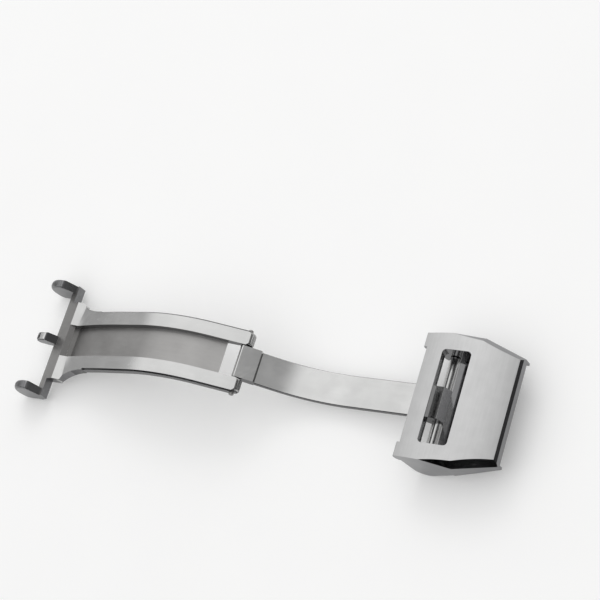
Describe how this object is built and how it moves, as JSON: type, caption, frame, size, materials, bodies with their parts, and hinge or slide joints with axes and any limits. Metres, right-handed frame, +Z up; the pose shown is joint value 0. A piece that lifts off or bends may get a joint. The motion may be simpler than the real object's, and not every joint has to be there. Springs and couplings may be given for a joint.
{
  "type": "deployant watch clasp",
  "caption": "Folding steel clasp for a leather watch strap, drawn open: curved wide blade with crossbar, hooks and tang, narrow blade that folds into it, faceted buckle on a sprung bar.",
  "frame": {"origin": "middle of the open clasp's footprint, on the surface it stands on", "axes": "+X along the strap from the hooks to the buckle, +Y across the strap, +Z up"},
  "size_m": [0.0926, 0.0232, 0.0109],
  "materials": {
    "blade_steel": "polished rails and strip, satin channel floor",
    "buckle_steel": "fine satin top face, polished facets and sides",
    "pin_steel": "polished",
    "spring_wire": "drawn wire"
  },
  "bodies": {
    "outer": {"outer_blade": "blade_steel", "tang": "blade_steel", "middle_hinge_pin": "pin_steel"},
    "inner": {"inner_blade": "blade_steel"},
    "buckle": {"buckle_frame": "buckle_steel", "strap_bar_tube": "pin_steel", "strap_bar_spring": "spring_wire"},
    "tip_left": {"strap_bar_tip_left": "pin_steel"},
    "tip_right": {"strap_bar_tip_right": "pin_steel"}
  },
  "joints": [
    {"name": "middle_hinge", "type": "hinge", "parent": "outer", "child": "inner", "pos_m": [-0.00219, 0, 0.0076], "axis": [0, -1, 0], "range_deg": [0, 191.5]},
    {"name": "bar_hinge", "type": "hinge", "parent": "inner", "child": "buckle", "pos_m": [0.03296, 0, 0.0022], "axis": [0, -1, 0], "range_deg": [-173.5, 0]},
    {"name": "left_tip_slide", "type": "slide", "parent": "buckle", "child": "tip_left", "axis": [0, -1, 0], "range_m": [0, 0.001], "stiffness_N_per_m": 800, "springref_m": -0.001, "deforming": ["strap_bar_spring"]},
    {"name": "right_tip_slide", "type": "slide", "parent": "buckle", "child": "tip_right", "axis": [0, 1, 0], "range_m": [0, 0.001], "stiffness_N_per_m": 800, "springref_m": -0.001, "deforming": ["strap_bar_spring"]}
  ],
  "couplings": [
    {"joint": "bar_hinge", "follows": "middle_hinge", "ratio": -0.906}
  ]
}
